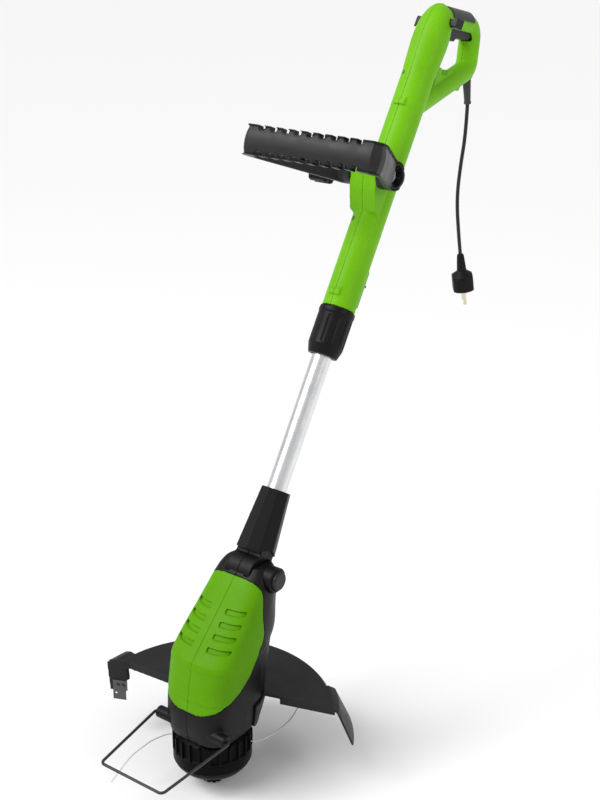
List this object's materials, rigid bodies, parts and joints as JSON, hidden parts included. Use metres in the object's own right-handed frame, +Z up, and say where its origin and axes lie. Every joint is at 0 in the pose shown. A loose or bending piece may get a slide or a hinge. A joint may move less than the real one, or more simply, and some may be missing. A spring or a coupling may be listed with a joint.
{
  "type": "string trimmer",
  "caption": "Corded string trimmer with a D-shaped rear grip, front loop handle, telescopic shaft, tilting motor head, bump-feed line spool and rear debris shield.",
  "frame": {"origin": "centre of the rear grip, where the operator's hand closes, on the plane of symmetry", "axes": "+Z up with the tool held in its working pose, the head's spin axis upright; the head lies forward of the operator towards -Y; +X is to the operator's left facing -Y"},
  "size_m": [0.3167, 0.7104, 0.8861],
  "materials": {
    "green_plastic": "moulded satin",
    "black_plastic": "moulded, fine texture",
    "grey_plastic": "moulded, fine texture",
    "soft_grip": "soft touch",
    "cord_sheath": "smooth PVC",
    "white_plastic": "moulded",
    "nylon_line": "extruded",
    "tube_metal": "satin",
    "steel": "bright",
    "magnet": "ground",
    "copper": "lacquered",
    "lead_core": "smooth",
    "plug_brass": "nickel-brass"
  },
  "bodies": {
    "housing": {"handle_shell_left": "green_plastic", "handle_shell_right": "green_plastic", "handle_screws": "steel", "grip_pad": "soft_grip", "trigger_pin": "steel", "trigger_switch": "white_plastic", "latch_spring": "steel", "aux_pivot_bolt": "steel", "cord_strain_relief": "soft_grip", "mains_cord": "cord_sheath", "mains_plug": "black_plastic", "plug_pins": "plug_brass"},
    "trigger": {"trigger": "grey_plastic"},
    "lock_off_lever": {"lock_off_lever": "grey_plastic"},
    "rotation_latch": {"rotation_latch": "grey_plastic"},
    "aux_handle": {"aux_handle": "grey_plastic"},
    "aux_clamp_knob": {"aux_clamp_knob": "black_plastic"},
    "swivel": {"swivel_sleeve": "white_plastic", "clamp_ring": "white_plastic"},
    "collar": {"locking_collar": "black_plastic"},
    "shaft": {"shaft_tube": "tube_metal", "tube_plugs": "white_plastic", "inner_lead": "lead_core", "neck_left": "black_plastic", "neck_right": "black_plastic", "neck_screws": "steel"},
    "head": {"head_shell_left": "black_plastic", "head_shell_right": "black_plastic", "motor_cover_left": "green_plastic", "motor_cover_right": "green_plastic", "head_screws": "steel", "tilt_pin": "steel", "tilt_button_bezel": "black_plastic", "tilt_button_spring": "steel", "guard_shield": "black_plastic", "shield_screws": "steel", "cutter_blade": "steel", "cutter_screws": "steel", "motor_can": "steel", "motor_magnets": "magnet", "brush_plate": "white_plastic", "carbon_brushes": "magnet", "upper_bearing": "steel", "lower_bearing": "steel"},
    "tilt_button": {"tilt_button": "grey_plastic"},
    "wire_guard": {"wire_guard": "steel"},
    "rotor": {"motor_shaft": "steel", "armature_core": "steel", "armature_windings": "copper", "commutator": "copper", "cooling_fan": "white_plastic", "spool_cap": "black_plastic", "spool_drum": "black_plastic", "line_eyelets": "steel", "cutting_lines": "nylon_line", "bump_spring": "steel"},
    "bump_feed": {"line_reel": "white_plastic", "line_winding": "nylon_line", "bump_knob": "black_plastic"}
  },
  "joints": [
    {"name": "trigger_pull", "type": "hinge", "parent": "housing", "child": "trigger", "pos_m": [0, -0.02923, -0.00321], "axis": [1, 0, 0], "range_deg": [0, 6], "stiffness_Nm_per_rad": 0.6, "springref_deg": -8.59},
    {"name": "lock_off_slide", "type": "slide", "parent": "housing", "child": "lock_off_lever", "axis": [0, 0.849, -0.5284], "range_m": [0, 0.004], "stiffness_N_per_m": 400, "springref_m": -0.004},
    {"name": "rotation_latch_slide", "type": "slide", "parent": "housing", "child": "rotation_latch", "axis": [0, 0.5284, 0.849], "range_m": [0, 0.008], "stiffness_N_per_m": 300, "springref_m": -0.004, "deforming": ["latch_spring"]},
    {"name": "aux_handle_tilt", "type": "hinge", "parent": "housing", "child": "aux_handle", "pos_m": [0, -0.19151, -0.16196], "axis": [1, 0, 0], "range_deg": [-40, 40]},
    {"name": "aux_clamp_turn", "type": "hinge", "parent": "housing", "child": "aux_clamp_knob", "pos_m": [0, -0.19151, -0.16196], "axis": [1, 0, 0], "continuous": true},
    {"name": "handle_rotation", "type": "hinge", "parent": "housing", "child": "swivel", "pos_m": [0, -0.24995, -0.3164], "axis": [0, 0.5284, 0.849], "range_deg": [0, 180]},
    {"name": "collar_turn", "type": "hinge", "parent": "swivel", "child": "collar", "pos_m": [0, -0.27109, -0.35036], "axis": [0, 0.5284, 0.849], "range_deg": [0, 90]},
    {"name": "shaft_telescope", "type": "slide", "parent": "swivel", "child": "shaft", "axis": [0, 0.5284, 0.849], "range_m": [-0.1, 0.13]},
    {"name": "head_tilt", "type": "hinge", "parent": "shaft", "child": "head", "pos_m": [0, -0.42962, -0.60505], "axis": [1, 0, 0], "range_deg": [-15, 30]},
    {"name": "tilt_button_press", "type": "slide", "parent": "head", "child": "tilt_button", "axis": [-1, 0, 0], "range_m": [0, 0.005], "stiffness_N_per_m": 500, "springref_m": -0.004, "deforming": ["tilt_button_spring"]},
    {"name": "wire_guard_fold", "type": "hinge", "parent": "head", "child": "wire_guard", "pos_m": [0, -0.53782, -0.76735], "axis": [1, 0, 0], "range_deg": [-90, 0]},
    {"name": "spool_spin", "type": "hinge", "parent": "head", "child": "rotor", "pos_m": [0, -0.50182, -0.82635], "axis": [0, 0, 1], "continuous": true},
    {"name": "bump_feed_push", "type": "slide", "parent": "rotor", "child": "bump_feed", "axis": [0, 0, 1], "range_m": [0, 0.004], "stiffness_N_per_m": 700, "springref_m": -0.006, "deforming": ["bump_spring"]}
  ]
}
